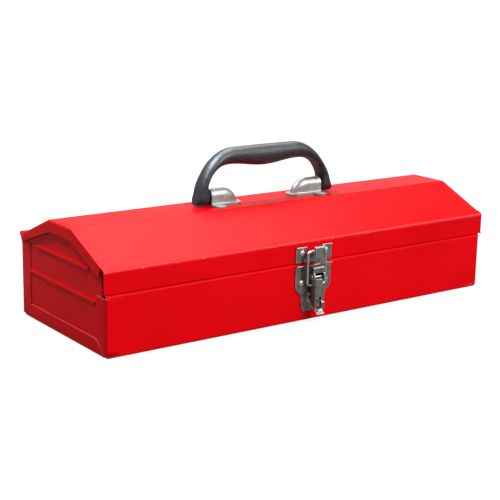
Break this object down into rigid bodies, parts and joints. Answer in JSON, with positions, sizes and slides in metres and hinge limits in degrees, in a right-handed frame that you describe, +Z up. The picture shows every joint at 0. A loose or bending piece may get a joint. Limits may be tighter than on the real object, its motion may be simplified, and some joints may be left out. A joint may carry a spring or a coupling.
{
  "type": "hip-roof tool box",
  "caption": "Folded-steel hip-roof tool box with a hinged lid, a folding carry handle and an over-centre draw latch with a padlock staple.",
  "frame": {"origin": "centre of the flat underside, on the surface that the box stands on", "axes": "+X along the box's length, to the right as seen from the front; the latch side faces -Y; +Z up"},
  "size_m": [0.4096, 0.1645, 0.1432],
  "materials": {
    "red_paint": "semi-gloss powder coat with a faint orange peel",
    "plated_steel": "satin zinc plate",
    "latch_steel": "bright nickel plate with dull stamped edges",
    "handle_plastic": "moulded black plastic with a fine leather-like grain",
    "pin_steel": "plain drawn steel"
  },
  "bodies": {
    "box": {"body_shell": "red_paint", "left_end_panel": "red_paint", "right_end_panel": "red_paint", "hinge_body_leaf": "red_paint", "latch_base_plate": "latch_steel", "latch_base_rivets": "plated_steel", "latch_fulcrum_pin": "pin_steel"},
    "lid": {"lid_shell": "red_paint", "hinge_lid_leaf": "red_paint", "hinge_pin": "pin_steel", "latch_keeper": "latch_steel", "latch_keeper_rivets": "plated_steel", "left_handle_bracket": "plated_steel", "right_handle_bracket": "plated_steel", "left_bracket_rivets": "plated_steel", "right_bracket_rivets": "plated_steel"},
    "handle": {"handle_grip": "handle_plastic", "handle_core": "pin_steel"},
    "lever": {"latch_lever": "latch_steel"},
    "bail": {"latch_bail": "latch_steel"}
  },
  "joints": [
    {"name": "lid_hinge", "type": "hinge", "parent": "box", "child": "lid", "pos_m": [0, 0.0736, 0.07139], "axis": [-1, 0, 0], "range_deg": [0, 100]},
    {"name": "handle_fold", "type": "hinge", "parent": "lid", "child": "handle", "pos_m": [0, 0, 0.1024], "axis": [1, 0, 0], "range_deg": [-86, 94]},
    {"name": "lever_swing", "type": "hinge", "parent": "box", "child": "lever", "pos_m": [0, -0.0792, 0.0395], "axis": [-1, 0, 0], "range_deg": [0, 90]},
    {"name": "bail_swing", "type": "hinge", "parent": "lever", "child": "bail", "pos_m": [0, -0.0782, 0.0326], "axis": [-1, 0, 0], "range_deg": [-72, 0]}
  ],
  "couplings": [
    {"joint": "bail_swing", "follows": "lever_swing", "ratio": -0.8}
  ]
}
